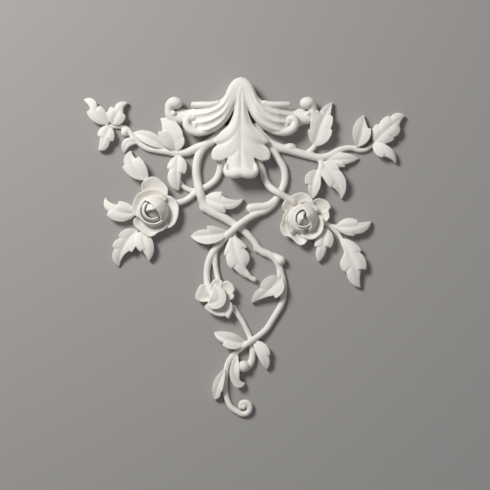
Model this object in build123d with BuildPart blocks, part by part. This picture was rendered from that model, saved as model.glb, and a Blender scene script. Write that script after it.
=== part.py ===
from build123d import *
import os
from math import cos, hypot, radians, sin

# A cast plaster wall relief: a fluted acanthus crown over crossing rose vines with leaves,
# two full roses and a small open flower. It lies on its flat back: +Z comes out of the wall,
# +Y runs up the relief, and the origin is on the back, on the crown's centre line.

# Leaves
leaf_root_height = 11.0
leaf_crest_height = 16.0
leaf_tip_height = 9.0
leaf_fold = 0.24
under_leaf_drop = 5.0

# Stems
stem_sink = 0.3
stem_crest = 0.9
stem_flat = 0.45
crossing_lift = 12.0
section_spacing = 17.0

# Roses
petal_height = 19.0
petal_dish = 6.0
inner_petal_step = 6.0
cup_radius = 27.0
cup_height = 39.0
cup_wall = 5.0
bud_radius = 16.0
bud_shoulder = 11.0
bud_height = 48.0
bud_slit = 7.0

# Small flower
swirl_radius = 15.0
swirl_tube = 7.5
swirl_height = 26.0

# Crown
knob_radius = 22.0
knob_top = 86.0
knob_axis_height = 16.0
knob_foot = 10.0
crown_height = 40.0
wing_end_height = 32.0
flute_count = 4
flute_bulge = 3.5
tongue_height = 36.0
lobe_height = 25.0
lobe_reach = 64.0
seam = 3.0
lip_radius = 13.0
lip_height = 33.0
scroll_ball = 14.5
pearl = 7.0

# The cast is poured a little deep and its back is cut flat.
trim = 4.0

# Each leaf: root, tip, then its two margins from root to tip. A margin is a chain of
# arcs: a point on the round of each stretch, and at each notch the tooth and the cut.
leaves = {
    "sprig_outer": (
        (-266, -8), (-317, 41),
        [(-294, -4), (-310, 17), (-303, 20), (-306, 32)],
        [(-268, 12), (-282, 30), (-288, 26), (-296, 43)],
    ),
    "sprig_inner": (
        (-258, -8), (-226, 35),
        [(-269, 12), (-260, 28), (-254, 24), (-244, 37)],
        [(-235, -3), (-231, 10), (-235, 13), (-234, 28)],
    ),
    "sprig_lower": (
        (-262, -11), (-287, -60),
        [(-280, -14), (-288, -31), (-282, -34), (-285, -48)],
        [(-254, -24), (-256, -43), (-263, -42), (-270, -58)],
    ),
    "branch_back": ((-150, -56), (-217, -23), [(-182, -22)], [(-186, -50)]),
    "branch_up": (
        (-132, -61), (-163, 5),
        [(-156, -50), (-166, -23), (-158, -22), (-159, -8)],
        [(-118, -55), (-113, -36), (-115, -33), (-126, -8)],
    ),
    "branch_hook": ((-204, -46), (-235, -66), [(-234, -38)], [(-222, -52)]),
    "branch_pendant": (
        (-126, -70), (-125, -141),
        [(-144, -82), (-149, -97), (-143, -99), (-144, -128)],
        [(-109, -86), (-113, -108), (-119, -105), (-121, -122)],
    ),
    "rose_crest": (
        (-186, -120), (-220, -60),
        [(-220, -114), (-238, -93), (-233, -91), (-233, -72)],
        [(-188, -96), (-205, -72), (-210, -77), (-217, -69)],
    ),
    "rose_side": (
        (-210, -186), (-272, -154),
        [(-226, -166), (-245, -162), (-246, -169), (-261, -165)],
        [(-240, -204), (-270, -190), (-266, -183), (-276, -168)],
    ),
    "rose_skirt_outer": (
        (-208, -220), (-245, -294),
        [(-230, -217), (-246, -232), (-242, -236), (-252, -241), (-258, -254), (-254, -258), (-259, -276)],
        [(-209, -248), (-219, -265), (-224, -262), (-239, -277)],
    ),
    "rose_skirt_inner": (
        (-198, -220), (-185, -283),
        [(-213, -244), (-201, -264), (-198, -261), (-190, -274)],
        [(-174, -252)],
    ),
    "drop_leaf": (
        (-74, -154), (5, -157),
        [(-56, -144), (-38, -143), (-38, -150), (-16, -159)],
        [(-60, -174), (-30, -186), (-31, -178), (-8, -174)],
    ),
    "cross_leaf": (
        (-24, -224), (-102, -233),
        [(-42, -215), (-68, -211), (-68, -219), (-86, -221)],
        [(-66, -249)],
    ),
    "cross_drop": (
        (-17, -229), (29, -320),
        [(-31, -254), (-35, -271), (-30, -271), (-29, -286), (-19, -298), (-16, -295), (4, -311)],
        [(4, -244), (13, -254), (7, -259), (17, -274), (13, -289), (13, -292), (17, -308)],
    ),
    "vine_leaf": (
        (80, -314), (22, -368),
        [(54, -313), (38, -333), (39, -336), (26, -348)],
        [(87, -336), (68, -357), (67, -351), (42, -358)],
    ),
    "scroll_leaf": (
        (148, -52), (185, 37),
        [(137, -38), (134, -20), (138, -19), (140, -1), (153, 21), (157, 16), (168, 29)],
        [(173, -43), (183, -20), (179, -19), (184, -4), (184, 8), (180, 9), (182, 24)],
    ),
    "spray_bud": (
        (233, -54), (248, 12),
        [(224, -16)],
        [(257, -38), (260, -16), (255, -17), (250, -1)],
    ),
    "spray_end": (
        (268, -44), (330, 9),
        [(262, -22), (272, -6), (276, -9), (286, 5), (298, 10), (299, 6), (315, 16)],
        [(290, -47), (309, -38), (304, -35), (317, -27), (320, -16), (318, -12), (322, 0)],
    ),
    "spray_low": (
        (266, -46), (312, -87),
        [(300, -55)],
        [(267, -64), (283, -75), (288, -73), (301, -78)],
    ),
    "cluster_upper": (
        (166, -81), (238, -76),
        [(206, -64)],
        [(188, -92), (210, -94), (208, -89), (224, -84)],
    ),
    "cluster_lower": (
        (160, -86), (202, -158),
        [(186, -84), (197, -97), (196, -99), (211, -126)],
        [(163, -113), (179, -136), (181, -133), (193, -143)],
    ),
    "bloom_top": (
        (154, -100), (144, -158),
        [(135, -104), (129, -129), (134, -129), (135, -142)],
        [(160, -128)],
    ),
    "bloom_low": (
        (168, -214), (156, -285),
        [(148, -242), (147, -254), (153, -253), (150, -272)],
        [(186, -236), (180, -256), (172, -253), (169, -268)],
    ),
    "bloom_spray_upper": (
        (190, -214), (262, -202),
        [(212, -196), (235, -201), (235, -205), (250, -204)],
        [(204, -227), (229, -232), (228, -228), (251, -222)],
    ),
    "bloom_spray_lower": (
        (202, -236), (241, -336),
        [(228, -245), (243, -261), (238, -264), (251, -282), (251, -300), (242, -297), (239, -318)],
        [(207, -254), (203, -274), (202, -276), (199, -294), (208, -305), (211, -301), (216, -321)],
    ),
    "tail_leaf_left": (
        (12, -446), (-55, -426),
        [(-18, -425)],
        [(-12, -459), (-37, -451), (-35, -446), (-47, -439)],
    ),
    "tail_leaf_right": (
        (23, -443), (51, -501),
        [(34, -476)],
        [(51, -450), (59, -470), (56, -473), (58, -488)],
    ),
    "horn_leaf": ((-6, -470), (9, -527), [(-24, -512)], [(-2, -510)]),
    "curl_leaf": (
        (-31, -498), (-54, -561),
        [(-56, -528)],
        [(-33, -524), (-38, -545), (-41, -542), (-43, -555)],
    ),
}

# Each stem: the points its centre line passes through, with a lift off the wall where it
# rides over another, and its radius along the way.
stems = {
    "left_branch": (
        [(-54, -38), (-82, -54), (-108, -63), (-126, -65), (-152, -62), (-180, -57), (-208, -42), (-228, -18),
         (-244, -12), (-270, -8)],
        [9, 8, 6.5, 6, 4],
    ),
    "right_branch": (
        [(28, -14), (46, -34), (60, -46), (98, -59), (138, -70), (158, -74), (178, -70), (194, -61), (224, -55),
         (250, -58), (261, -51), (269, -43)],
        [9.5, 9, 8, 6, 4.5, 3.5],
    ),
    "main_vine": (
        [(-66, -40), (-82, -64), (-90, -100), (-82, -144, 5), (-66, -178), (-36, -194), (-8, -212), (18, -234),
         (34, -256), (58, -270), (78, -296), (86, -328), (84, -360), (62, -402), (36, -432, 4), (18, -444, 8),
         (2, -456, 4), (-26, -486), (-32, -520), (-32, -540), (-28, -560), (-8, -585), (6, -591), (17, -584, 3),
         (20, -574, 5)],
        [9, 8.5, 9, 8, 7, 6.5, 6.5, 6, 5, 6, 6],
    ),
    "inner_vine": (
        [(60, -48), (70, -68), (84, -90), (88, -114), (84, -134), (72, -156), (50, -180), (12, -198, 7),
         (-2, -208, crossing_lift), (-18, -222, 7), (-46, -250), (-64, -280), (-69, -312), (-64, -340, 8),
         (-57, -352, 13)],
        [8, 7.5, 7.5, 7, 7, 8, 6.5, 6.5],
    ),
    "left_rose_stem": (
        [(-34, -78, 6), (-44, -104), (-62, -128), (-84, -141), (-98, -150), (-110, -159), (-130, -166, 4)],
        [7, 6.5],
    ),
    "pendant_stem": ([(-92, -141), (-106, -138), (-116, -132), (-123, -122)], [5, 4.5]),
    "right_rose_stem": (
        [(32, -80, 6), (46, -112), (62, -137, 8), (76, -146, crossing_lift), (90, -154, 8), (104, -162, 6)],
        [7, 7],
    ),
    "cut_stub": ([(74, -154), (50, -172), (19, -176)], [7, 8.5]),
    "bud_stem": ([(-42, -246), (-51, -276), (-51, -300), (-44, -326, 4)], [5.5, 5.5]),
    "scroll_leaf_stem": ([(138, -64), (148, -50, 4), (154, -38, 8), (159, -20, 12)], [5.5, 2.5]),
    "cluster_stub": ([(156, -76), (160, -88, 3), (158, -100, 6), (157, -111, 6)], [5.5, 6]),
    "bloom_spray_stem": ([(160, -204, 4), (176, -210), (190, -221), (200, -234), (206, -252, 4)], [5.5, 5, 4]),
    "bloom_spray_twig": ([(182, -213), (200, -215, 4)], [5, 4]),
    "tail": (
        [(-22, -368), (-8, -390), (4, -406), (14, -430), (20, -450), (23, -472), (18, -490), (8, -497)],
        [6, 5.5, 5.5, 6.5, 7],
    ),
    "vine_bud": ([(56, -270), (80, -281)], [6, 8.5]),
}

# Round ends and knots on the stems: where each sits, and its radius.
knots = {
    "cut_stub_end": ((20, -176, 6.5), 9.5),
    "vine_bud_end": ((78, -280, 6.5), 9.5),
    "tail_ball": ((5, -494, 7), 12),
    "curl_eye": ((10, -574, 6), 8),
    "left_branch_knot": ((-235, -23, 4), 6.5),
    "right_branch_knot": ((98, -53, 7), 8),
    "cluster_stub_end": ((157, -110, 10.5), 7),
    "inner_vine_end": ((-58, -351, 17), 7.2),
}

# Leaves that grow from behind a stem lie closer to the wall.
under_leaves = ["branch_back", "branch_hook", "cluster_upper", "rose_skirt_outer"]

# Each bloom: its centre, then its petals as direction, reach and half width.
left_rose = (-176, -180)
left_rose_petals = [(86, 67, 27), (172, 44, 27), (-12, 54, 30), (-98, 56, 33), (-135, 52, 22)]
left_rose_inner = [(108, 43, 27), (158, 40, 24)]
right_rose = (124, -199)
right_rose_petals = [(95, 54, 28), (152, 50, 26), (26, 62, 27), (208, 52, 27), (262, 54, 25)]
right_rose_inner = [(-38, 46, 30), (75, 40, 24), (-85, 42, 24)]
small_flower = (-52, -354)
small_flower_petals = [(170, 40, 17), (86, 37, 17), (24, 42, 20), (-69, 41, 23), (-114, 36, 21)]

# Crown, right half: the ends of each section across the wing, upper edge then lower edge.
wing_sections = [
    ((28, 56), (2, 52), 36),
    ((38, 41), (10, 18), 40),
    ((58, 31), (30, -12), 40),
    ((80, 32), (60, -28), 36),
    ((99, 33), (100, -30), 30),
]
# Crown tongue, right half: level up the relief, crease between tongue and lobe, tongue height, lobe height.
tongue_sections = [(60, 9, 0, 2), (20, 6, 0, 2), (-20, 12, -2, 2), (-61, 20, 0, 0), (-96, 34, 6, -3), (-124, 37, 9, -4)]
outer_scroll = [(96, -2), (118, -3), (136, -2), (147, 9), (148, 24), (134, 34)]
outer_scroll_radii = [12, 9, 7.5, 8, 12]
inner_scroll = [(68, -22), (88, -26), (104, -22), (112, -8), (106, 4), (96, 2)]
inner_scroll_radii = [9, 8.5, 7, 5.5, 4.5]


def margin(root, chain, tip):
    start = root
    for i in range(0, len(chain), 3):
        end = chain[i + 1] if i + 1 < len(chain) else tip
        ThreePointArc(start, chain[i], end)
        if i + 2 < len(chain):
            Line(end, chain[i + 2])
            start = chain[i + 2]


def leaf(root, tip, one_margin, other_margin, drop):
    run = Vector(*tip) - Vector(*root)
    along = run.normalized()
    half = run.length / 2
    low, crest, high = leaf_root_height - drop, leaf_crest_height - drop, leaf_tip_height - drop
    # The blade arches over a circle through its heights at root, middle and tip.
    rise = crest - (low + high) / 2
    radius = (half**2 + rise**2) / (2 * rise)
    centre = Vector(*root) + along * (half + (low - high) / (2 * half) * -radius)
    pivot = (centre.X, centre.Y, crest - radius)
    across = (-along.Y, along.X, 0)
    wide = 2 * half
    with BuildPart() as blade:
        with BuildSketch(Plane.XY.offset(-trim)):
            with BuildLine():
                margin(root, one_margin, tip)
                margin(root, other_margin, tip)
            make_face()
        extrude(amount=4 * leaf_crest_height + trim)
        with BuildSketch(Plane(pivot, x_dir=across, z_dir=along)):
            with BuildLine():
                Polyline(
                    (-wide, -radius - leaf_fold * wide),
                    (0, -radius),
                    (wide, -radius - leaf_fold * wide),
                    (wide, -radius / 4),
                    (-wide, -radius / 4),
                    close=True,
                )
            make_face()
        revolve(axis=Axis(pivot, across), mode=Mode.INTERSECT)
    return blade.part


def radius_at(radii, share):
    at = share * (len(radii) - 1)
    step = min(int(at), len(radii) - 2)
    return radii[step] + (radii[step + 1] - radii[step]) * (at - step)


def stem(points, radii, depth):
    spots = []
    for i, point in enumerate(points):
        lift = point[2] if len(point) > 2 else 0
        height = radius_at(radii, i / (len(points) - 1)) * (1 - stem_sink) + lift
        spots.append((point[0], point[1], height))
    with BuildLine() as route:
        Spline(*spots)
    line = route.edge()
    count = max(2, round(line.length / section_spacing))
    # Chamfered on top, with straight sides down to the back, so that it leaves the mould.
    with BuildPart() as rod:
        for i in range(count + 1):
            spot, way = line @ (i / count), line % (i / count)
            side = radius_at(radii, i / count)
            crest = spot.Z + stem_crest * side
            with BuildSketch(Plane((spot.X, spot.Y, 0), x_dir=(-way.Y, way.X, 0), z_dir=(way.X, way.Y, 0))):
                with BuildLine():
                    Polyline((-side, -depth), (-side, spot.Z), (-stem_flat * side, crest))
                    Polyline((-stem_flat * side, crest), (stem_flat * side, crest), (side, spot.Z))
                    Polyline((side, spot.Z), (side, -depth), (-side, -depth))
                make_face()
        loft()
    return rod.part


def knot(spot, radius):
    # A domed post: a chamfered dome on straight sides.
    height = spot[2]
    with BuildPart() as post:
        with BuildSketch(Plane((spot[0], spot[1], 0), x_dir=(1, 0, 0), z_dir=(0, -1, 0))):
            with BuildLine():
                Polyline((0, -3 * trim), (radius, -3 * trim), (radius, height), (0.8 * radius, height + 0.6 * radius))
                Line((0.8 * radius, height + 0.6 * radius), (0.35 * radius, height + 0.94 * radius))
                Polyline((0.35 * radius, height + 0.94 * radius), (0, height + radius), (0, -3 * trim))
            make_face()
        revolve(axis=Axis((spot[0], spot[1], 0), (0, 0, 1)))
    return post.part


def petal(centre, angle, reach, half_width, height):
    way = (cos(radians(angle)), sin(radians(angle)))
    spread = reach - half_width
    # The upper face is dished, so that the rim stands proud.
    dish = (half_width**2 + petal_dish**2) / (2 * petal_dish)
    with BuildPart() as blade:
        with BuildSketch(Plane((centre[0], centre[1], -trim), x_dir=(way[0], way[1], 0))):
            with Locations((spread, 0)):
                Circle(half_width)
            Circle(half_width / 2)
            make_hull()
        extrude(amount=height + trim)
        with Locations((centre[0] + way[0] * spread, centre[1] + way[1] * spread, height - petal_dish + dish)):
            Sphere(dish, mode=Mode.SUBTRACT)
    return blade.part


def wrap_profile(radius, height):
    base = petal_height / 2
    middle = (base + height) / 2
    ThreePointArc((radius - cup_wall, base), (radius, middle), (radius - cup_wall, height))
    Line((radius - cup_wall, height), (radius - 2 * cup_wall, height))
    ThreePointArc((radius - 2 * cup_wall, height), (radius - cup_wall, middle), (radius - 2 * cup_wall, base))
    Line((radius - 2 * cup_wall, base), (radius - cup_wall, base))


def rose_heart(centre, turn):
    way = (cos(radians(turn)), sin(radians(turn)), 0)
    back = (-way[0], -way[1], 0)
    across = (-way[1], way[0], 0)
    foot = (centre[0], centre[1], 0)
    upright = Axis(foot, (0, 0, 1))
    # Two wraps open on opposite sides, round a closed bud on a solid core.
    with BuildPart() as heart:
        with BuildSketch(Plane(foot, x_dir=way, z_dir=(way[1], -way[0], 0))):
            with BuildLine():
                Polyline((0, bud_height), (0, -2 * trim), (cup_radius - cup_wall, -2 * trim))
                Line((cup_radius - cup_wall, -2 * trim), (cup_radius - cup_wall, petal_height))
                Polyline((cup_radius - cup_wall, petal_height), (bud_radius, cup_height - cup_wall), (bud_shoulder, cup_height + 4))
                Line((bud_shoulder, cup_height + 4), (0, bud_height))
            make_face()
        revolve(axis=upright)
        with BuildSketch(Plane(foot, x_dir=way, z_dir=(way[1], -way[0], 0))):
            with BuildLine():
                wrap_profile(cup_radius, cup_height)
            make_face()
        revolve(axis=upright, revolution_arc=215)
        with BuildSketch(Plane(foot, x_dir=back, z_dir=across)):
            with BuildLine():
                wrap_profile(cup_radius - cup_wall, cup_height + cup_wall)
            make_face()
        revolve(axis=upright, revolution_arc=215)
        with Locations(Plane((centre[0], centre[1], bud_height), x_dir=way)):
            Box(2 * bud_slit, bud_slit / 2, bud_slit, mode=Mode.SUBTRACT)
    return heart.part


def swirl(centre):
    # The small flower's heart: one petal rolled round on itself, open to the left.
    inner, outer = swirl_radius - swirl_tube, swirl_radius + swirl_tube
    top = swirl_height + swirl_tube
    with BuildPart() as curl:
        with BuildSketch(Plane((centre[0], centre[1], 0), x_dir=(0, 1, 0), z_dir=(1, 0, 0))):
            with BuildLine():
                Polyline((inner, -2 * trim), (outer, -2 * trim), (outer, swirl_height), (swirl_radius, top))
                Polyline((swirl_radius, top), (inner, swirl_height), (inner, -2 * trim))
            make_face()
        revolve(axis=Axis((centre[0], centre[1], 0), (0, 0, -1)), revolution_arc=230)
        with Locations((centre[0], centre[1], 0)):
            Cylinder(swirl_radius - 2, 2 * swirl_height - 6)
    return curl.part


def wing_ribs(wide, height):
    step = wide / flute_count
    edge = height * 0.72
    for i in range(flute_count):
        left = edge + (height - edge) * sin(radians(180 * i / flute_count))
        right = edge + (height - edge) * sin(radians(180 * (i + 1) / flute_count))
        crest = (left + right) / 2 + min(flute_bulge, step / 3)
        ThreePointArc((i * step, left), ((i + 0.5) * step, crest), ((i + 1) * step, right))
    Polyline((wide, edge), (wide, -trim), (0, -trim), (0, edge))


def tongue_ribs(crease, top, lobe):
    valley = lobe - flute_bulge
    Polyline((-2 * seam, -2 * trim), (-2 * seam, top - flute_bulge), (0, top - flute_bulge))
    ThreePointArc((0, top - flute_bulge), (crease / 2, top), (crease, top - flute_bulge))
    Line((crease, top - flute_bulge), (crease + flute_bulge, valley))
    ThreePointArc((crease + flute_bulge, valley), ((crease + lobe_reach) / 2, lobe), (lobe_reach, valley - flute_bulge))
    Polyline((lobe_reach, valley - flute_bulge), (lobe_reach, -2 * trim), (-2 * seam, -2 * trim))


leaf_blades = []
for name, (root, tip, one_margin, other_margin) in leaves.items():
    leaf_blades.append(leaf(root, tip, one_margin, other_margin, under_leaf_drop if name in under_leaves else 0))
with BuildPart() as foliage:
    add(leaf_blades, clean=False)

rods = []
for i, (points, radii) in enumerate(stems.values()):
    rods.append(stem(points, radii, trim * (2 + i / len(stems))))
for spot, radius in knots.values():
    rods.append(knot(spot, radius))
with BuildPart() as vines:
    add(rods, clean=False)

blooms = []
for centre, outer, inner, turn in (
    (left_rose, left_rose_petals, left_rose_inner, 60),
    (right_rose, right_rose_petals, right_rose_inner, 200),
):
    petals = [rose_heart(centre, turn)]
    for angle, reach, half_width in outer:
        petals.append(petal(centre, angle, reach, half_width, petal_height))
    for angle, reach, half_width in inner:
        petals.append(petal(centre, angle, reach, half_width, petal_height + inner_petal_step))
    with BuildPart() as bloom:
        add(petals, clean=False)
    blooms.append(bloom.part)
petals = [swirl(small_flower)]
for angle, reach, half_width in small_flower_petals:
    petals.append(petal(small_flower, angle, reach, half_width, petal_height))
with BuildPart() as bloom:
    add(petals, clean=False)
blooms.append(bloom.part)

with BuildPart() as knob:
    with BuildSketch(Plane((0, 0, knob_axis_height))):
        with BuildLine():
            RadiusArc((knob_radius, knob_top - knob_radius), (0, knob_top), -knob_radius)
            Polyline((0, knob_top), (0, knob_foot), (knob_radius * 0.6, knob_foot))
            ThreePointArc(
                (knob_radius * 0.6, knob_foot),
                (knob_radius * 1.02, (knob_top - knob_radius + knob_foot) / 2),
                (knob_radius, knob_top - knob_radius),
            )
        make_face()
    revolve(axis=Axis((0, 0, knob_axis_height), (0, 1, 0)))

with BuildPart() as wing:
    for upper, lower, height in wing_sections:
        across = Vector(lower[0] - upper[0], lower[1] - upper[1], 0)
        with BuildSketch(Plane((upper[0], upper[1], 0), x_dir=across, z_dir=(across.Y, -across.X, 0))):
            with BuildLine():
                wing_ribs(across.length, height)
            make_face()
    loft()

with BuildPart() as tongue:
    for level, crease, rise, lobe_rise in tongue_sections:
        with BuildSketch(Plane((0, level, 0), x_dir=(1, 0, 0), z_dir=(0, -1, 0))):
            with BuildLine():
                tongue_ribs(crease, tongue_height + rise, lobe_height + lobe_rise)
            make_face()
    loft()
    with BuildSketch(Plane.XY.offset(-trim)):
        with BuildLine():
            Polyline((0, -114), (-seam, -114), (-seam, 56), (10, 56), (10, 20))
            ThreePointArc((10, 20), (25, -10), (54, -41))
            Line((54, -41), (46, -48))
            ThreePointArc((46, -48), (54, -62), (55, -79))
            ThreePointArc((55, -79), (43, -81), (32, -77))
            Line((32, -77), (19, -61))
            ThreePointArc((19, -61), (27, -82), (33, -101))
            ThreePointArc((33, -101), (30, -113), (18, -118))
            ThreePointArc((18, -118), (8, -117), (0, -114))
        make_face()
    extrude(amount=3 * tongue_height, mode=Mode.INTERSECT)

with BuildPart() as lip:
    with Locations(Location((0, -104, lip_height), (0, 90, 0))):
        Cylinder(lip_radius, 36)
    with Locations((18, -104, lip_height), (-18, -104, lip_height)):
        Sphere(lip_radius)

right_half = [wing.part, tongue.part, stem(outer_scroll, outer_scroll_radii, 2.2 * trim)]
right_half.append(stem(inner_scroll, inner_scroll_radii, 2.4 * trim))
right_half.append(knot((134, 34, 16), scroll_ball))
right_half.append(knot((136, 14, 10), pearl))
left_half = [mirror(piece, about=Plane.YZ, mode=Mode.PRIVATE) for piece in right_half]
with BuildPart() as crown:
    add([knob.part, lip.part] + right_half + left_half, clean=False)

# One casting: everything runs together, and the back is cut flat.
with BuildPart() as wall_relief:
    add(vines.part, clean=False)
    add(foliage.part, clean=False)
    add(crown.part, clean=False)
    for bloom_part in blooms:
        add(bloom_part, clean=False)
    split(bisect_by=Plane.XY, keep=Keep.TOP)
wall_relief.part.label = "wall_relief"
os.makedirs("parts", exist_ok=True)
export_step(wall_relief.part, "parts/wall_relief.step")
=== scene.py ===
import math

import bmesh
import bpy
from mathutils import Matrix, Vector, noise


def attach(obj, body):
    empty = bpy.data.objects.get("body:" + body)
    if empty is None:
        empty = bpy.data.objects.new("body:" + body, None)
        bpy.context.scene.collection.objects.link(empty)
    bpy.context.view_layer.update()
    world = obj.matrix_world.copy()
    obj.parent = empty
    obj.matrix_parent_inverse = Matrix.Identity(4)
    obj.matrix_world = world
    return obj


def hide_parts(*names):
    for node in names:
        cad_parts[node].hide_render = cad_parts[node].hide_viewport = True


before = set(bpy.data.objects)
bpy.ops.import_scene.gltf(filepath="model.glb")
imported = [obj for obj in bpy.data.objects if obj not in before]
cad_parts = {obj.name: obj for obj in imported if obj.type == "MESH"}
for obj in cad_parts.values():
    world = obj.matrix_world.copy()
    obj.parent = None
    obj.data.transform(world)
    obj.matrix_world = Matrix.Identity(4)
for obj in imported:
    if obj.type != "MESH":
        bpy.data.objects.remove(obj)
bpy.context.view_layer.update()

relief = bmesh.new()  # the whole casting is gathered here, in millimetres


def between(a, b, share):
    return a + (b - a) * share


def arcPoints(start, middle, end, count=12):
    a, m, b = Vector(start), Vector(middle), Vector(end)
    across, towards = b - a, m - a
    twist = 2 * (across.x * towards.y - across.y * towards.x)
    if abs(twist) < 1e-6:
        return [a.lerp(b, i / count) for i in range(count + 1)]
    centre = a + Vector((
        across.length_squared * towards.y - towards.length_squared * across.y,
        towards.length_squared * across.x - across.length_squared * towards.x,
    )) / twist
    first = math.atan2(a.y - centre.y, a.x - centre.x)
    turn = (math.atan2(b.y - centre.y, b.x - centre.x) - first) % math.tau
    onWay = (math.atan2(m.y - centre.y, m.x - centre.x) - first) % math.tau
    sweep = turn if onWay < turn else turn - math.tau
    radius = (a - centre).length
    angles = [first + sweep * i / count for i in range(count + 1)]
    return [centre + radius * Vector((math.cos(t), math.sin(t))) for t in angles]


def smoothPoints(points, count=8):  # a soft line through every point
    spots = [Vector(p) for p in points]
    spots = [2 * spots[0] - spots[1]] + spots + [2 * spots[-1] - spots[-2]]
    line = []
    for p0, p1, p2, p3 in zip(spots, spots[1:], spots[2:], spots[3:]):
        for i in range(count):
            t = i / count
            line.append(0.5 * (2 * p1 + (p2 - p0) * t + (2 * p0 - 5 * p1 + 4 * p2 - p3) * t * t
                               + (3 * p1 - p0 - 3 * p2 + p3) * t ** 3))
    return line + [spots[-2]]


def evenly(line, count):  # the same line with evenly spaced points
    marks = [0.0]
    for a, b in zip(line, line[1:]):
        marks.append(marks[-1] + (b - a).length)
    spots, k = [], 0
    for i in range(count + 1):
        want = marks[-1] * i / count
        while k < len(line) - 2 and marks[k + 1] < want:
            k += 1
        span = max(marks[k + 1] - marks[k], 1e-9)
        spots.append(line[k].lerp(line[k + 1], min(1, (want - marks[k]) / span)))
    return spots


def valueAt(values, share):
    at = min(max(share, 0), 1) * (len(values) - 1)
    i = min(int(at), len(values) - 2)
    return between(values[i], values[i + 1], at - i)


def eased(value, start, end):
    share = min(max((value - start) / (end - start), 0), 1)
    return share * share * (3 - 2 * share)


def gridSheet(along, across, place):  # a grid laid out by place(u, v)
    bm = bmesh.new()
    bmesh.ops.create_grid(bm, x_segments=along, y_segments=across, size=0.5)
    for v in bm.verts:
        v.co = place(v.co.x + 0.5, v.co.y + 0.5)
    return bm


def carryDown(bm, backing, middle, tuck):  # closes a sheet with a back, drawn in to its middle
    under = bmesh.ops.extrude_face_region(bm, geom=bm.faces[:])
    for v in under["geom"]:
        if isinstance(v, bmesh.types.BMVert):
            heart = middle(v.co)
            x, y = between(v.co.x, heart.x, tuck), between(v.co.y, heart.y, tuck)
            v.co = Vector((x, y, backing))


def keep(bm, seam=0.02):  # closes the seams of a form and adds it to the casting
    bmesh.ops.remove_doubles(bm, verts=bm.verts, dist=seam)
    bmesh.ops.recalc_face_normals(bm, faces=bm.faces)
    mesh = bpy.data.meshes.new("part")
    bm.to_mesh(mesh)
    bm.free()
    relief.from_mesh(mesh)
    bpy.data.meshes.remove(mesh)


leafCarving = {
    "rootHeight": 10, "crestHeight": 18, "tipHeight": 9,
    "pillow": 0.11, "pillowMost": 2.4,  # each half swells beside the midrib, by its width
    "fall": 0.14, "cup": -0.16,  # edges fall away, or stand up on the cupped leaves
    "groove": 1.1, "grooveWide": 0.04,  # soft hollow from each notch to the midrib
    "rim": 0.9, "rimAt": 0.93, "rimSpread": 0.06, "rimFull": 12,  # thin raised edge, full from this half width
    "widest": 34, "lowest": 2.5,  # half width beyond which nothing grows, and the thinnest margin
    "lean": 1.35,  # how far the side veins slant to the tip
    "tuck": 0.3, "backing": -2, "underDrop": 5, "ribSteps": 30,
    "cupped": ["branchBack", "roseCrest", "bloomTop", "roseSkirtOuter", "branchUp", "scrollLeaf", "crossLeaf",
               "sprayBud", "curlLeaf", "tailLeafLeft", "vineLeaf", "clusterLower", "hornLeaf"],
    "under": ["branchBack", "branchHook", "clusterUpper", "roseSkirtOuter"],
}
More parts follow.
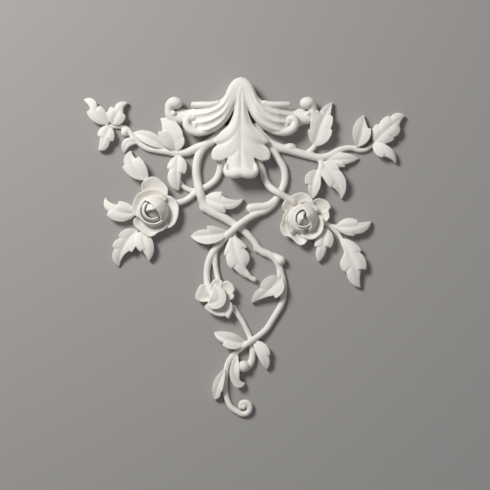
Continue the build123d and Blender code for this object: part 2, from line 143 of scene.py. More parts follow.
leaves = {  # root, tip, then both margins: a point on each round, and a tooth and cut at each notch
    "sprigOuter": ((-266, -8), (-317, 41), [(-294, -4), (-310, 17), (-303, 20), (-306, 32)],
                   [(-268, 12), (-282, 30), (-288, 26), (-296, 43)]),
    "sprigInner": ((-258, -8), (-226, 35), [(-269, 12), (-260, 28), (-254, 24), (-244, 37)],
                   [(-235, -3), (-231, 10), (-235, 13), (-234, 28)]),
    "sprigLower": ((-262, -11), (-287, -60), [(-280, -14), (-288, -31), (-282, -34), (-285, -48)],
                   [(-254, -24), (-256, -43), (-263, -42), (-270, -58)]),
    "branchBack": ((-150, -56), (-217, -23), [(-182, -22)], [(-186, -50)]),
    "branchUp": ((-132, -61), (-163, 5), [(-156, -50), (-166, -23), (-158, -22), (-159, -8)],
                 [(-118, -55), (-113, -36), (-115, -33), (-126, -8)]),
    "branchHook": ((-204, -46), (-235, -66), [(-234, -38)], [(-222, -52)]),
    "branchPendant": ((-126, -70), (-125, -141), [(-144, -82), (-149, -97), (-143, -99), (-144, -128)],
                      [(-109, -86), (-113, -108), (-119, -105), (-121, -122)]),
    "roseCrest": ((-186, -120), (-220, -60), [(-220, -114), (-238, -93), (-233, -91), (-233, -72)],
                  [(-188, -96), (-205, -72), (-210, -77), (-217, -69)]),
    "roseSide": ((-210, -186), (-272, -154), [(-226, -166), (-245, -162), (-246, -169), (-261, -165)],
                 [(-240, -204), (-270, -190), (-266, -183), (-276, -168)]),
    "roseSkirtOuter": ((-208, -220), (-245, -294),
                       [(-230, -217), (-246, -232), (-242, -236), (-252, -241), (-258, -254), (-254, -258),
                        (-259, -276)],
                       [(-209, -248), (-219, -265), (-224, -262), (-239, -277)]),
    "roseSkirtInner": ((-198, -220), (-185, -283), [(-213, -244), (-201, -264), (-198, -261), (-190, -274)],
                       [(-174, -252)]),
    "dropLeaf": ((-74, -154), (5, -157), [(-56, -144), (-38, -143), (-38, -150), (-16, -159)],
                 [(-60, -174), (-30, -186), (-31, -178), (-8, -174)]),
    "crossLeaf": ((-24, -224), (-102, -233), [(-42, -215), (-68, -211), (-68, -219), (-86, -221)],
                  [(-66, -249)]),
    "crossDrop": ((-17, -229), (25, -320),
                  [(-31, -254), (-35, -271), (-30, -271), (-29, -286), (-19, -298), (-16, -295), (3, -312)],
                  [(4, -244), (13, -254), (7, -259), (18, -274), (13, -289), (10, -294), (14, -309)]),
    "vineLeaf": ((80, -314), (22, -368), [(54, -313), (38, -333), (39, -336), (26, -348)],
                 [(87, -336), (68, -357), (67, -351), (42, -358)]),
    "scrollLeaf": ((148, -52), (185, 37),
                   [(137, -38), (134, -20), (138, -19), (140, -1), (153, 21), (157, 16), (168, 29)],
                   [(173, -43), (183, -20), (179, -19), (184, -4), (184, 8), (180, 9), (182, 24)]),
    "sprayBud": ((233, -54), (248, 12), [(224, -16)], [(257, -38), (260, -16), (255, -17), (250, -1)]),
    "sprayEnd": ((268, -44), (330, 9),
                 [(262, -22), (272, -6), (276, -9), (286, 5), (298, 10), (299, 6), (315, 16)],
                 [(290, -47), (309, -38), (304, -35), (317, -27), (320, -16), (318, -12), (322, 0)]),
    "sprayLow": ((266, -46), (312, -87), [(300, -55)], [(267, -64), (283, -75), (288, -73), (301, -78)]),
    "clusterUpper": ((166, -81), (238, -76), [(206, -64)], [(188, -92), (210, -94), (208, -89), (224, -84)]),
    "clusterLower": ((160, -86), (202, -158), [(186, -84), (197, -97), (196, -99), (211, -126)],
                     [(163, -113), (179, -136), (181, -133), (193, -143)]),
    "bloomTop": ((154, -100), (144, -158), [(135, -104), (129, -129), (134, -129), (135, -142)],
                 [(160, -128)]),
    "bloomLow": ((168, -214), (156, -285), [(148, -242), (147, -254), (153, -253), (150, -272)],
                 [(186, -236), (180, -256), (172, -253), (169, -268)]),
    "bloomSprayUpper": ((190, -214), (262, -202), [(212, -196), (235, -201), (235, -205), (250, -204)],
                        [(204, -227), (229, -232), (228, -228), (251, -222)]),
    "bloomSprayLower": ((202, -236), (241, -336),
                        [(228, -245), (243, -261), (238, -264), (251, -282), (251, -300), (242, -297),
                         (239, -318)],
                        [(207, -254), (203, -274), (202, -276), (199, -294), (208, -305), (211, -301),
                         (216, -321)]),
    "tailLeafLeft": ((12, -446), (-55, -426), [(-18, -425)],
                     [(-12, -459), (-37, -451), (-35, -446), (-47, -439)]),
    "tailLeafRight": ((23, -443), (51, -501), [(34, -476)], [(51, -450), (59, -470), (56, -473), (58, -488)]),
    "hornLeaf": ((-6, -470), (9, -527), [(-23, -500), (-14, -532), (-14, -532), (0, -536)],
                 [(-3, -497), (-3, -516), (-3, -516), (1, -524)]),
    "curlLeaf": ((-31, -498), (-54, -561), [(-56, -528)], [(-33, -524), (-38, -545), (-41, -542), (-43, -555)]),
}


def marginLine(root, chain, tip):
    line, cuts, start = [Vector(root)], [], root
    for i in range(0, len(chain), 3):
        end = chain[i + 1] if i + 1 < len(chain) else tip
        line += arcPoints(start, chain[i], end)[1:]
        if i + 2 < len(chain):
            if chain[i + 2] != end:
                line.append(Vector(chain[i + 2]))
                cuts.append(Vector(chain[i + 2]))
            start = chain[i + 2]
    return line, cuts


def leafBlade(root, tip, chains, heights, pillow, fall, lean, tuck=None, groove=None,
              steps=64, halfSteps=14, flow=0):
    sides, notches = [], []
    for chain in chains:
        line, cuts = marginLine(root, chain, tip)
        side = evenly(line, steps)
        sides.append(side)
        nearest = [min(range(steps + 1), key=lambda k: (side[k] - cut).length) for cut in cuts]
        notches.append([k / steps for k in nearest])
    root, tip = Vector(root), Vector(tip)
    belly = (sides[0][steps // 2] + sides[1][steps // 2]) / 2
    pull = 2 * belly - (root + tip) / 2

    def rib(share):
        return root.lerp(pull, share).lerp(pull.lerp(tip, share), share)

    def place(u, v):
        side = 0 if v < 0.5 else 1
        out = abs(2 * v - 1)
        edge = sides[side][round(u * steps)]
        along = valueAt(lean, u) if isinstance(lean, list) else u ** lean
        heart = rib(along)
        level = min(max((edge - root).dot(tip - root) / (tip - root).length_squared, 0), 1)
        turn = ((heart + edge) / 2).lerp(rib(level), flow)  # veins leave along the midrib, then bend out
        spot = heart.lerp(turn, out).lerp(turn.lerp(edge, out), out)
        wide = min((edge - heart).length, leafCarving["widest"])
        swell = min(leafCarving["pillowMost"], pillow * wide)
        share = between(along, u, out)
        arch = heights[0] * (1 - share) * (1 - 2 * share) + 4 * heights[1] * share * (1 - share)
        arch += heights[2] * share * (2 * share - 1)
        z = arch + swell * math.sin(math.pi * out) - fall * wide * out * out
        nearRim = math.exp(-((out - leafCarving["rimAt"]) / leafCarving["rimSpread"]) ** 2)
        z += leafCarving["rim"] * nearRim * min(1, wide / leafCarving["rimFull"])
        depth = leafCarving["groove"] if groove is None else groove
        for notch in notches[side]:
            z -= depth * out * math.exp(-((u - notch) / leafCarving["grooveWide"]) ** 2)
        return Vector((spot.x, spot.y, max(z, leafCarving["lowest"])))

    bm = gridSheet(steps, 2 * halfSteps, place)
    line = [rib(i / leafCarving["ribSteps"]) for i in range(leafCarving["ribSteps"] + 1)]
    carryDown(bm, leafCarving["backing"], lambda p: min(line, key=lambda s: (s - p.xy).length),
              leafCarving["tuck"] if tuck is None else tuck)
    keep(bm)


for name, (root, tip, one, other) in leaves.items():
    drop = leafCarving["underDrop"] if name in leafCarving["under"] else 0
    heights = [leafCarving[k] - drop for k in ("rootHeight", "crestHeight", "tipHeight")]
    fall = leafCarving["cup" if name in leafCarving["cupped"] else "fall"]
    leafBlade(root, tip, (one, other), heights, leafCarving["pillow"], fall, leafCarving["lean"])
print("leaves", len(leaves))

vines = {
    "sink": 0.3, "round": 6, "fine": 6, "knobFine": 3,
    "stems": {  # centre line, with the lift where one rides over another, then radii along it
        "leftBranch": ([(-30, -18), (-52, -35), (-68, -46), (-92, -56), (-108, -63), (-126, -65), (-152, -62),
                        (-172, -59), (-192, -54), (-208, -42), (-220, -28), (-228, -18), (-240, -12),
                        (-258, -11), (-270, -8)],
                       [9.5, 9, 8, 6.5, 6, 6, 5, 4]),
        "rightBranch": ([(28, -14), (46, -34), (60, -46), (78, -54), (98, -59), (118, -65), (138, -70),
                         (158, -74), (178, -70), (194, -61), (208, -56), (224, -55), (238, -59), (250, -58),
                         (261, -51), (270, -42)],
                        [9.5, 9, 8.5, 8, 7, 6, 5, 4]),
        "mainVine": ([(-62, -42), (-76, -54), (-83, -66), (-88, -80), (-90, -100), (-88, -120), (-82, -144, 4),
                      (-76, -164), (-66, -178), (-52, -186), (-36, -194), (-20, -204), (-8, -212), (6, -222),
                      (18, -234), (28, -246), (34, -256), (44, -264), (58, -270), (70, -280), (78, -296),
                      (82, -310), (86, -328), (86, -346), (82, -368), (72, -386), (62, -402), (52, -418),
                      (36, -432, 4), (18, -444, 9), (2, -456, 5), (-16, -472), (-26, -486), (-30, -500),
                      (-32, -520), (-32, -540), (-28, -560), (-20, -576), (-8, -585), (4, -590), (14, -586, 1),
                      (18, -577, 2), (15, -569, 3), (7, -566, 4), (0, -569, 5), (-1, -576, 6)],
                     [8.5, 8.5, 8.5, 9.5, 9, 7.5, 7, 8, 6.5, 6.5, 6.5, 6.2, 6, 5.5, 5.5, 6, 6.2, 5.8, 4.5]),
        "innerVine": ([(56, -44), (62, -52), (68, -64), (76, -78), (84, -90), (88, -104), (88, -120), (84, -134),
                       (72, -156), (62, -170), (50, -180), (30, -188, 3), (12, -198, 8), (-2, -208, 12),
                       (-18, -222, 8), (-34, -236, 2), (-46, -250), (-56, -264), (-64, -280), (-68, -296),
                       (-69, -312), (-68, -328, 4), (-64, -340, 9), (-58, -351, 13)],
                      [8, 7.5, 7.5, 7, 7.5, 7, 7, 8, 7, 6.5, 6.5]),
        "leftRoseStem": ([(-34, -80, 6), (-40, -88, 3), (-44, -104), (-51, -118), (-62, -128), (-76, -136),
                          (-90, -143), (-98, -150), (-110, -159), (-122, -164, 2), (-134, -166, 4)],
                         [7, 6.5, 6.5]),
        "pendantStem": ([(-92, -142), (-106, -138), (-116, -132), (-123, -122)], [5.5, 5, 4.5]),
        "rightRoseStem": ([(34, -84, 6), (42, -96, 3), (46, -112, 1), (52, -126, 4), (62, -137, 8),
                           (76, -146, 12), (90, -154, 9), (104, -162, 7)], [7, 7]),
        "cutStub": ([(74, -154), (62, -166), (50, -172), (34, -174), (20, -176)], [7, 8, 9, 9.6]),
        "budStem": ([(-44, -248), (-51, -262), (-52, -284), (-50, -302), (-45, -322, 4)], [6, 5.5]),
        "scrollLeafStem": ([(136, -64), (146, -54, 3), (154, -40, 8), (158, -24, 12), (160, -8, 12)],
                           [6.5, 4.5, 2.2]),
        "clusterStub": ([(158, -76), (162, -86, 3), (160, -100, 6), (157, -110, 6)], [6.5, 6.5, 7]),
        "bloomSprayStem": ([(166, -204, 2), (176, -210), (190, -221), (200, -234, 1), (206, -252, 6),
                            (214, -276, 11)], [6, 5.5, 4.5, 2.5]),
        "bloomSprayTwig": ([(180, -212), (192, -214, 2), (206, -213, 8), (222, -213, 13)], [5.5, 4.5, 2]),
        "tail": ([(-16, -376), (-6, -390), (4, -406), (12, -422), (18, -436), (22, -456), (23, -472),
                  (19, -488), (10, -496)], [6, 5.5, 5.5, 6, 7, 8]),
        "vineBud": ([(56, -269), (68, -273, 1), (80, -281, 2)], [6.5, 6.8, 9.8]),
        "vineLeafStalk": ([(76, -290), (77, -304, 2), (75, -318, 7), (66, -332, 11), (52, -346, 10)],
                          [6, 5, 3.5, 2]),
        "crossDropStalk": ([(-16, -222, 2), (-12, -238, 5), (-8, -254, 10)], [6, 5, 2.5]),
        "crossDropTip": ([(8, -300, 8), (14, -309, 7), (20, -316, 6), (26, -319, 5)], [4.5, 5, 4.8, 5.2]),
    },
    "knots": {  # place and half sizes of each swelling or round end
        "tailBall": ((5, -494, 9), (12.5, 12, 12)), "leftBranchKnot": ((-234, -23, 4), (8, 9, 8)),
        "rightBranchKnot": ((99, -54, 5), (13, 9.5, 10)), "clusterStubEnd": ((157, -111, 11), (7.5, 8, 7.5)),
        "innerVineEnd": ((-57, -353, 17), (7.4, 7.6, 7.2)), "vineElbow": ((-74, -170, 3), (11, 15, 11.5)),
        "curlEye": ((5, -575, 9), (6, 6, 6)), "vineJoint": ((33, -256, 3), (9, 10, 8)),
    },
}


def roundBar(points, radii):  # a tapered bar along a soft line, with domed ends
    curve = bpy.data.curves.new("stem", "CURVE")
    curve.dimensions, curve.bevel_depth, curve.bevel_resolution = "3D", 1, vines["round"]
    curve.resolution_u, curve.use_fill_caps = vines["fine"], True
    spline = curve.splines.new("BEZIER")
    spline.bezier_points.add(len(points) - 1)
    for i, knot in enumerate(spline.bezier_points):
        knot.co = points[i]
        knot.radius = valueAt(radii, i / (len(points) - 1))
        knot.handle_left_type = knot.handle_right_type = "AUTO"
    holder = bpy.data.objects.new("stem", curve)
    bpy.context.collection.objects.link(holder)
    mesh = bpy.data.meshes.new_from_object(holder)
    bm = bmesh.new()
    bm.from_mesh(mesh)
    bpy.data.objects.remove(holder)
    bpy.data.curves.remove(curve)
    bpy.data.meshes.remove(mesh)
    keep(bm)
    for spot, radius in ((points[0], radii[0]), (points[-1], radii[-1])):
        roundKnob(spot, (radius, radius, radius))


def roundKnob(spot, size):
    bm = bmesh.new()
    bmesh.ops.create_icosphere(bm, subdivisions=vines["knobFine"], radius=1)
    bmesh.ops.scale(bm, vec=Vector(size), verts=bm.verts)
    bmesh.ops.translate(bm, vec=Vector(spot), verts=bm.verts)
    keep(bm)


for points, radii in vines["stems"].values():
    line = []
    for i, point in enumerate(points):
        radius = valueAt(radii, i / (len(points) - 1))
        lift = point[2] if len(point) > 2 else 0
        line.append((point[0], point[1], radius * (1 - vines["sink"]) + lift))
    roundBar(line, radii)
for spot, size in vines["knots"].values():
    roundKnob(spot, size)
print("vines", len(vines["stems"]))

blooms = {
    "leftRose": {
        "heart": (-176, -182),
        "petals": [  # rim line, then heights at the heart, the rim, and how far the rim rolls over
            ([(-200, -138), (-200, -130), (-196, -122), (-190, -118), (-182, -113), (-172, -113), (-162, -119),
              (-152, -128), (-146, -138), (-146, -148)], 5, 21, 2),
            ([(-150, -152), (-142, -151), (-132, -158), (-126, -168), (-124, -180), (-126, -194), (-131, -206),
              (-140, -215), (-150, -218)], 6, 22, 3),
            ([(-206, -192), (-214, -198), (-216, -204), (-212, -214), (-202, -222), (-192, -230), (-184, -234),
              (-174, -232), (-166, -226), (-154, -220), (-147, -212), (-148, -204)], 8, 23, 3),
            ([(-204, -196), (-213, -190), (-218, -181), (-217, -169), (-213, -157), (-206, -147), (-196, -142),
              (-186, -139), (-174, -138), (-163, -141), (-152, -150), (-148, -158)], 10, 27, 2.5),
        ],
        "wraps": [  # first angle, sweep, radii at the foot, radii at the rim, rim heights, thickness
            (100, 235, (28, 29, 29), (27, 26.5, 28), (35, 35, 33), 3.6),
            (122, 190, (22, 21, 20), (19, 17, 17), (39, 41, 38), 3.2),
            (-45, 168, (26, 26, 25), (21, 12, 8, 7, 8, 12, 21), (38, 44, 46.5, 44, 40), 3.4),
            (2, 188, (17, 17.5, 17), (6, 2.5, 1.5, 2.5, 6), (41, 44.5, 45.5, 44.5, 41), 3),
        ],
        "core": (19, 31), "cup": 2.6,
    },
    "rightRose": {
        "heart": (124.5, -197.5),
        "petals": [
            ([(82, -180), (82, -172), (86, -162), (96, -154), (108, -147), (122, -144), (134, -148),
              (142, -156), (148, -166)], 5, 21, 3),
            ([(144, -160), (154, -156), (164, -157), (172, -161), (178, -168), (180, -176), (176, -180),
              (178, -190), (176, -198), (168, -207)], 5, 20, 2),
            ([(90, -180), (84, -190), (82, -200), (78, -212), (80, -224), (86, -232), (96, -234), (104, -240),
              (112, -248), (120, -251), (128, -248), (136, -238)], 6, 23, 3),
            ([(160, -190), (165, -200), (166, -210), (163, -223), (156, -232), (144, -239), (130, -238),
              (119, -231)], 10, 28, 3),
            ([(112, -170), (119, -164), (128, -161), (140, -164), (151, -174), (156, -184)], 10, 26, 2),
            ([(104, -230), (94, -222), (90, -208), (91, -194), (98, -182), (108, -174)], 10, 27, 2),
        ],
        "wraps": [
            (76, 196, (27.5, 28, 27), (25, 23.5, 24), (33, 35, 33), 3),
            (92, 178, (22, 22, 22), (19.5, 17.5, 18.5), (37, 39, 36), 3),
            (-66, 170, (27, 28, 28, 27), (25, 23, 10, 8, 8, 10, 17, 23), (33, 36, 42, 45, 46, 44, 40, 36), 3.4),
            (75, 165, (16.5, 17, 16.5), (8, 3, 1, 1, 3, 8), (40, 44, 45, 44, 40), 3),
            (205, 140, (20, 20, 20), (18, 16.5, 17.5), (35, 37.5, 36), 2.6),
        ],
        "core": (18, 32), "cup": 2.6,
    },
    "smallFlower": {
        "heart": (-52, -354),
        "petals": [
            ([(-66, -334), (-73, -329), (-82, -330), (-87, -338), (-92, -352), (-90, -359), (-80, -364),
              (-66, -364)], 9, 18, 2),
            ([(-62, -336), (-60, -326), (-54, -319), (-46, -317), (-38, -321), (-36, -330)], 10, 21, 2.5),
            ([(-38, -326), (-29, -321), (-20, -325), (-14, -333), (-12, -341), (-16, -346), (-13, -350),
              (-15, -357), (-24, -362)], 10, 21, 2.5),
            ([(-68, -368), (-73, -373), (-71, -379), (-62, -386), (-50, -392), (-38, -394), (-31, -393),
              (-25, -398), (-20, -390), (-16, -380), (-17, -368), (-26, -360)], 10, 22, 4),
        ],
        "wraps": [],
        "core": (13, 18), "cup": 1.2,
    },
}
crescent = {  # the small flower's turned petal
    "root": (-54, -330), "tip": (-67, -367),
    "margins": ([(-38, -335), (-29, -354), (-29, -354), (-37, -373), (-54, -378), (-54, -378), (-63, -375)],
                [(-59, -349)]),
    "heights": (25, 30, 26), "pillow": 0.08, "fall": -0.05, "lean": 1, "tuck": 0.1, "groove": 0,
}
petalCarving = {
    "along": 48, "out": 16, "heartShare": 0.1, "tuck": 0.14,
    "wave": 0.5, "waves": 5, "rollStart": 0.86,  # a slight wave, and where the rim starts to roll
    "endStart": 0.8, "endDrop": 4,  # the ends of the rim tuck under the next petal
}
wrapCarving = {
    "along": 44, "up": 14, "foot": 8, "belly": 2.2, "lean": 3,
    "endStart": 0.75, "endDrop": 3,
}


def endFall(u, carving):  # how far the ends of a rim come down
    return carving["endDrop"] * max(0, abs(2 * u - 1) - carving["endStart"]) / (1 - carving["endStart"])


def petalBlade(rim, heart, foot, top, roll, cup):
    along, rollStart = petalCarving["along"], petalCarving["rollStart"]
    edge = evenly(smoothPoints(rim), along)
    middle = Vector(heart)
    inner = [middle.lerp(p, petalCarving["heartShare"]) for p in edge]

    def place(u, v):
        k = round(u * along)
        spot = inner[k].lerp(edge[k], v)
        wave = petalCarving["wave"] * math.sin(petalCarving["waves"] * math.pi * u)
        z = foot + (top - foot) * v ** cup + wave * v * v
        if v > rollStart:
            z -= roll * ((v - rollStart) / (1 - rollStart)) ** 2
        return Vector((spot.x, spot.y, z - endFall(u, petalCarving) * v))

    bm = gridSheet(along, petalCarving["out"], place)
    carryDown(bm, leafCarving["backing"], lambda p: middle, petalCarving["tuck"])
    keep(bm)


def wrapPetal(heart, firstAngle, sweep, footRadii, rimRadii, rimHeights, thick):
    def place(u, v):
        angle = math.radians(firstAngle + sweep * u)
        foot, rim = valueAt(footRadii, u), valueAt(rimRadii, u)
        top = valueAt(rimHeights, u) - endFall(u, wrapCarving)
        radius = between(foot, rim, v ** wrapCarving["lean"]) + wrapCarving["belly"] * math.sin(math.pi * v)
        x, y = heart[0] + radius * math.cos(angle), heart[1] + radius * math.sin(angle)
        return Vector((x, y, between(wrapCarving["foot"], top, v)))

    bm = gridSheet(wrapCarving["along"], wrapCarving["up"], place)
    bmesh.ops.recalc_face_normals(bm, faces=bm.faces)
    bmesh.ops.solidify(bm, geom=bm.faces[:], thickness=thick)
    keep(bm)


for bloom in blooms.values():
    heart = bloom["heart"]
    for rim, foot, top, roll in bloom["petals"]:
        petalBlade(rim, heart, foot, top, roll, bloom["cup"])
    for wrap in bloom["wraps"]:
        wrapPetal(heart, *wrap)
    radius, height = bloom["core"]
    roundKnob((heart[0], heart[1], 0), (radius, radius, height))
leafBlade(crescent["root"], crescent["tip"], crescent["margins"], crescent["heights"], crescent["pillow"],
          crescent["fall"], crescent["lean"], crescent["tuck"], crescent["groove"])
print("blooms", len(blooms))

crown = {
    "along": 84, "across": 70, "middle": (60, 10), "tuck": 0.07,
    "topEdge": [(0, 86), (12, 82), (22, 72), (28, 60), (32, 50), (40, 41), (52, 34), (64, 30), (76, 28),
                (88, 26.5), (98, 24), (107, 23), (118, 25), (128, 23), (136, 16)],
    "lowEdge": [(0, 30), (6, 28), (12, 24), (18, 13), (26, 0), (40, -15), (58, -26), (74, -31), (88, -31),
                (100, -27), (110, -19), (118, -11), (127, -8), (136, -5)],
    "heights": [39, 39.5, 40.5, 41.5, 40.5, 38, 34, 26, 19, 16, 15],  # from the knob to the end of the wing
    "edgeDrop": 17, "edgeRound": 3.4,
    "flutes": 3.5, "fluteDepth": 2.8, "fluteStart": (0.12, 0.5), "fluteEnd": (0.68, 0.9),
    "tip": ([(46, 34, 33), (60, 30, 31), (78, 29.5, 27), (94.5, 30.5, 22)], [4, 6, 6.8, 6]),  # the top flute's end
    "outerScroll": ([(112, 5, 8), (124, 4, 9), (134, 4, 10.5), (142, 11, 13), (144, 22, 15), (141, 31, 16.5),
                     (134, 35, 17.5)], [12, 12, 11, 9.8, 8.8, 10.5, 12]),
    "outerBall": ((133, 34, 18), (16, 12.5, 13)), "pearl": ((135, 13, 18), (6, 6, 7)),
    "innerScroll": ([(60, -22, 25), (76, -25.5, 25), (92, -24, 23.5), (104, -17, 22.5), (109, -6, 22.5),
                     (105, 2.5, 23), (97, 2.5, 23)], [4, 6.5, 8, 8.5, 8, 7.2, 5.5]),
    "innerEye": ((91, -9, 21), (5.5, 7, 8)),
}
tongue = {
    "root": (0, 64), "tip": (0, -112),
    "margin": [(9, 54), (12, 34), (12, 34), (17, 6), (27, -13), (27, -13), (42, -26), (57, -45), (46, -50),
               (57, -60), (57, -79), (57, -79), (41, -82), (23, -64), (19, -59), (28, -83), (33, -104),
               (33, -104), (24, -114)],
    "heights": (40, 33, 42), "pillow": 0.15, "fall": 0.2, "flow": 0.32, "tuck": 0.1, "groove": 3.2,
    "steps": 150, "halfSteps": 30,
    "lean": [0, 0.07, 0.15, 0.21, 0.26, 0.32, 0.4, 0.55, 0.78, 1],
    "lip": ([(-29, -90, 33), (-30, -102, 34), (-24, -108, 35.5), (-12, -108.5, 37), (0, -107, 36.5),
             (12, -108.5, 37), (24, -108, 35.5), (30, -102, 34), (29, -90, 33)],
            [3, 6, 9, 9.6, 9, 9.6, 9, 6, 3]),
}


def mirrored(points, side):
    return [(side * p[0],) + tuple(p[1:]) for p in points]


def wingSheet(side):
    along = crown["along"]
    middle = Vector((side * crown["middle"][0], crown["middle"][1]))
    upper = evenly(smoothPoints(crown["topEdge"]), along)
    lower = evenly(smoothPoints(crown["lowEdge"]), along)

    def place(u, v):
        k = round(u * along)
        spot = upper[k].lerp(lower[k], v)
        crest = valueAt(crown["heights"], u)
        edge = abs(2 * v - 1) ** crown["edgeRound"]
        shown = eased(u, *crown["fluteStart"]) * (1 - eased(u, *crown["fluteEnd"]))
        flute = crown["fluteDepth"] * (1 - 2 * abs(math.sin(math.pi * crown["flutes"] * v))) * shown
        z = crest - crown["edgeDrop"] * (1 - math.sqrt(max(0, 1 - edge))) + flute * (1 - edge)
        return Vector((side * spot.x, spot.y, z))

    bm = gridSheet(along, crown["across"], place)
    carryDown(bm, leafCarving["backing"], lambda p: middle, crown["tuck"])
    keep(bm)


for side in (1, -1):
    wingSheet(side)
    for name in ("tip", "outerScroll", "innerScroll"):
        points, radii = crown[name]
        roundBar(mirrored(points, side), radii)
    for name in ("outerBall", "pearl", "innerEye"):
        spot, size = crown[name]
        roundKnob(mirrored([spot], side)[0], size)
margins = (tongue["margin"], mirrored(tongue["margin"], -1))
leafBlade(tongue["root"], tongue["tip"], margins, tongue["heights"], tongue["pillow"], tongue["fall"],
          tongue["lean"], tongue["tuck"], tongue["groove"], tongue["steps"], tongue["halfSteps"], tongue["flow"])
roundBar(*tongue["lip"])
print("crown done")

casting = {
    "metres": 0.001, "voxel": 0.0011, "smoothing": 2, "smoothShare": 0.5, "mostTriangles": 185000,
    "handWork": 0.00022, "handScale": 70,  # slight unevenness of hand carving
    "backBand": 0.0004,  # what lies this low is drawn flat to the back
    "dustAndShadeSpread": 2,  # rounds of spreading, so that the dust and painted crease shade show as soft patches and not as speckle
}


def evaluated(holder):
    bpy.context.view_layer.update()
    shown = holder.evaluated_get(bpy.context.evaluated_depsgraph_get())
    return bpy.data.meshes.new_from_object(shown)


bmesh.ops.scale(relief, vec=Vector([casting["metres"]] * 3), verts=relief.verts)
mesh = bpy.data.meshes.new("wallRelief")
relief.to_mesh(mesh)
relief.free()
wallRelief = bpy.data.objects.new("wallRelief", mesh)
bpy.context.collection.objects.link(wallRelief)
joined = wallRelief.modifiers.new("joined", "REMESH")
joined.mode, joined.voxel_size = "VOXEL", casting["voxel"]
softened = wallRelief.modifiers.new("softened", "SMOOTH")
softened.factor, softened.iterations = casting["smoothShare"], casting["smoothing"]
cast = evaluated(wallRelief)
wallRelief.modifiers.clear()
wallRelief.data = cast
print("joined", len(cast.polygons))

bm = bmesh.new()
bm.from_mesh(cast)
for v in bm.verts:
    v.co += v.normal * noise.noise(v.co * casting["handScale"]) * casting["handWork"]
    if v.co.z < casting["backBand"]:
        v.co.z = 0
bm.to_mesh(cast)
bm.free()
triangles = sum(len(p.vertices) - 2 for p in cast.polygons)
thinned = wallRelief.modifiers.new("thinned", "DECIMATE")
thinned.ratio = min(1, casting["mostTriangles"] / triangles)
cast = evaluated(wallRelief)
wallRelief.modifiers.clear()
wallRelief.data = cast
cast.shade_smooth()
print("thinned", triangles, "to", len(cast.polygons))

# the hollow measure sets where dust and painted crease shade darken the plaster colour
hollows = cast.attributes.new("hollow", "FLOAT", "POINT")  # hollow above zero, edge below it
bm = bmesh.new()
bm.from_mesh(cast)
depths = []
for v in bm.verts:
    near = [e.other_vert(v).co for e in v.link_edges]
    mean = sum(near, Vector()) / len(near) - v.co if near else Vector()
    reach = sum((p - v.co).length for p in near) / len(near) if near else 1
    depths.append(mean.dot(v.normal) / max(reach, 1e-6))
for i in range(casting["dustAndShadeSpread"]):
    spread = list(depths)
    for v in bm.verts:
        near = [depths[e.other_vert(v).index] for e in v.link_edges]
        spread[v.index] = (depths[v.index] + sum(near)) / (1 + len(near))
    depths = spread
bm.free()
hollows.data.foreach_set("value", depths)


class Wire:
    def __init__(self, tree, socket=None):
        self.tree, self.socket = tree, socket

    def node(self, kind, settings=None, sockets=None, out=0):
        made = self.tree.nodes.new(kind)
        for name, value in (settings or {}).items():
            setattr(made, name, value)
        for name, value in (sockets or {}).items():
            if isinstance(value, Wire):
                self.tree.links.new(value.socket, made.inputs[name])
            else:
                made.inputs[name].default_value = value
        return Wire(self.tree, made.outputs[out])

    def maths(self, operation, first, second):
        return self.node("ShaderNodeMath", {"operation": operation}, {0: first, 1: second})

    def __add__(self, other):
        return self.maths("ADD", self, other)

    def __radd__(self, other):
        return self.maths("ADD", other, self)

    def __sub__(self, other):
        return self.maths("SUBTRACT", self, other)

    def __mul__(self, other):
        return self.maths("MULTIPLY", self, other)

    def __rmul__(self, other):
        return self.maths("MULTIPLY", other, self)


plasterFinish = {
    "pale": (0.85, 0.816, 0.754, 1), "chalk": (0.77, 0.737, 0.675, 1), "dustAndCreaseShade": (0.47, 0.445, 0.405, 1),
    "mottle": 14, "grain": 420, "pores": 900,
    "cloudRange": (0.35, 0.7), "cloudShare": 0.55,
    # the dark colour laid into the hollows is dust together with painted shade in the creases
    "dustAndShadeRange": (0.02, 0.24), "dustAndShadeShare": 0.85, "dustAndShadeDrift": 0.06,
    "roughLow": 0.58, "roughSpread": 0.16, "dustRough": 0.12, "gloss": 0.32,
    "grainShare": 0.6, "poreShare": 0.4, "bump": 0.16, "bumpDepth": 0.0006,
}


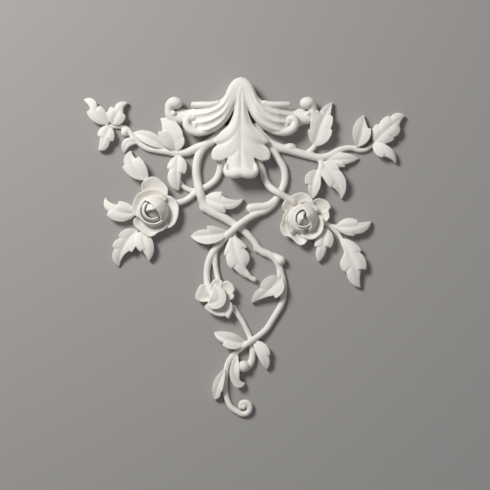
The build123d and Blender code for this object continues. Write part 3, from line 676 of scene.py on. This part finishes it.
def plasterMaterial():
    material = bpy.data.materials.new("plaster")
    material.use_nodes = True
    tree = material.node_tree
    shader = tree.nodes["Principled BSDF"]
    kit = Wire(tree)
    spot = kit.node("ShaderNodeTexCoord", out="Object")

    def speckle(name, detail):
        return kit.node("ShaderNodeTexNoise", {}, {"Vector": spot, "Scale": plasterFinish[name], "Detail": detail})

    def stretched(value, ends):
        return kit.node("ShaderNodeMapRange", {}, {"Value": value, "From Min": ends[0], "From Max": ends[1]})

    def mixed(share, first, second):
        sockets = {"Factor": share, "A": first, "B": second}
        return kit.node("ShaderNodeMix", {"data_type": "RGBA"}, sockets, out="Result")

    mottle, grain, pores = speckle("mottle", 5.0), speckle("grain", 3.0), speckle("pores", 2.0)
    hollow = kit.node("ShaderNodeAttribute", {"attribute_name": "hollow"}, out="Fac")
    clouds = stretched(mottle, plasterFinish["cloudRange"])
    # darkens the plaster in the hollows: dust and painted crease shade
    dustAndShadeMask = stretched(hollow + (mottle - 0.5) * plasterFinish["dustAndShadeDrift"], plasterFinish["dustAndShadeRange"])
    body = mixed(clouds * plasterFinish["cloudShare"], plasterFinish["pale"], plasterFinish["chalk"])
    dustedAndShaded = mixed(dustAndShadeMask * plasterFinish["dustAndShadeShare"], body, plasterFinish["dustAndCreaseShade"])
    rough = plasterFinish["roughLow"] + plasterFinish["roughSpread"] * grain + plasterFinish["dustRough"] * dustAndShadeMask
    height = grain * plasterFinish["grainShare"] + pores * plasterFinish["poreShare"]
    relieved = {"Height": height, "Strength": plasterFinish["bump"], "Distance": plasterFinish["bumpDepth"]}
    bump = kit.node("ShaderNodeBump", {}, relieved)
    for name, wire in (("Base Color", dustedAndShaded), ("Roughness", rough), ("Normal", bump)):
        tree.links.new(wire.socket, shader.inputs[name])
    shader.inputs["Specular IOR Level"].default_value = plasterFinish["gloss"]
    return material


cast.materials.clear()
cast.materials.append(plasterMaterial())
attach(wallRelief, "root")
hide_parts("wall_relief")
print("plaster on")

studio = {
    "floorSide": 9, "floorPlace": (0, -0.25, -0.0004), "floorColour": (0.36, 0.345, 0.33, 1), "floorRough": 0.85,
    "centre": (0.008, -0.25), "view": 0.98, "viewLevel": 0.02,  # width seen at this height
    "lens": 85, "sensor": 36, "farthest": 50,
    "keyPlace": (-1.7, 1.5, 2.3), "keySize": 1.2, "keyPower": 104,
    "fillPlace": (1.8, -1.6, 2.4), "fillSize": 2.6, "fillPower": 6,
    "sky": (0.94, 0.96, 1.0, 1), "skyStrength": 0.17,
}


def floorSheet():
    bm = bmesh.new()
    bmesh.ops.create_grid(bm, x_segments=1, y_segments=1, size=studio["floorSide"] / 2)
    bmesh.ops.translate(bm, vec=Vector(studio["floorPlace"]), verts=bm.verts)
    floorMesh = bpy.data.meshes.new("floor")
    bm.to_mesh(floorMesh)
    bm.free()
    floor = bpy.data.objects.new("floor", floorMesh)
    bpy.context.collection.objects.link(floor)
    paint = bpy.data.materials.new("floorPaint")
    paint.use_nodes = True
    shader = paint.node_tree.nodes["Principled BSDF"]
    shader.inputs["Base Color"].default_value = studio["floorColour"]
    shader.inputs["Roughness"].default_value = studio["floorRough"]
    floorMesh.materials.append(paint)


def softLamp(name, place, size, power):
    lamp = bpy.data.lights.new(name, "AREA")
    lamp.shape, lamp.size, lamp.energy = "DISK", size, power
    holder = bpy.data.objects.new(name, lamp)
    holder.location = place
    aim = Vector((studio["centre"][0], studio["centre"][1], 0)) - Vector(place)
    holder.rotation_euler = aim.to_track_quat("-Z", "Y").to_euler()
    bpy.context.collection.objects.link(holder)


floorSheet()
softLamp("keyLamp", studio["keyPlace"], studio["keySize"], studio["keyPower"])
softLamp("fillLamp", studio["fillPlace"], studio["fillSize"], studio["fillPower"])
world = bpy.data.worlds.new("studioSky")
world.use_nodes = True
sky = world.node_tree.nodes["Background"]
sky.inputs["Color"].default_value = studio["sky"]
sky.inputs["Strength"].default_value = studio["skyStrength"]
bpy.context.scene.world = world
bpy.context.scene.view_settings.view_transform = "Standard"

lens = bpy.data.cameras.new("camera")
lens.lens, lens.sensor_width, lens.clip_end = studio["lens"], studio["sensor"], studio["farthest"]
camera = bpy.data.objects.new("camera", lens)
camera.location = (*studio["centre"], studio["view"] * studio["lens"] / studio["sensor"] + studio["viewLevel"])
bpy.context.collection.objects.link(camera)
bpy.context.scene.camera = camera
print("studio set")
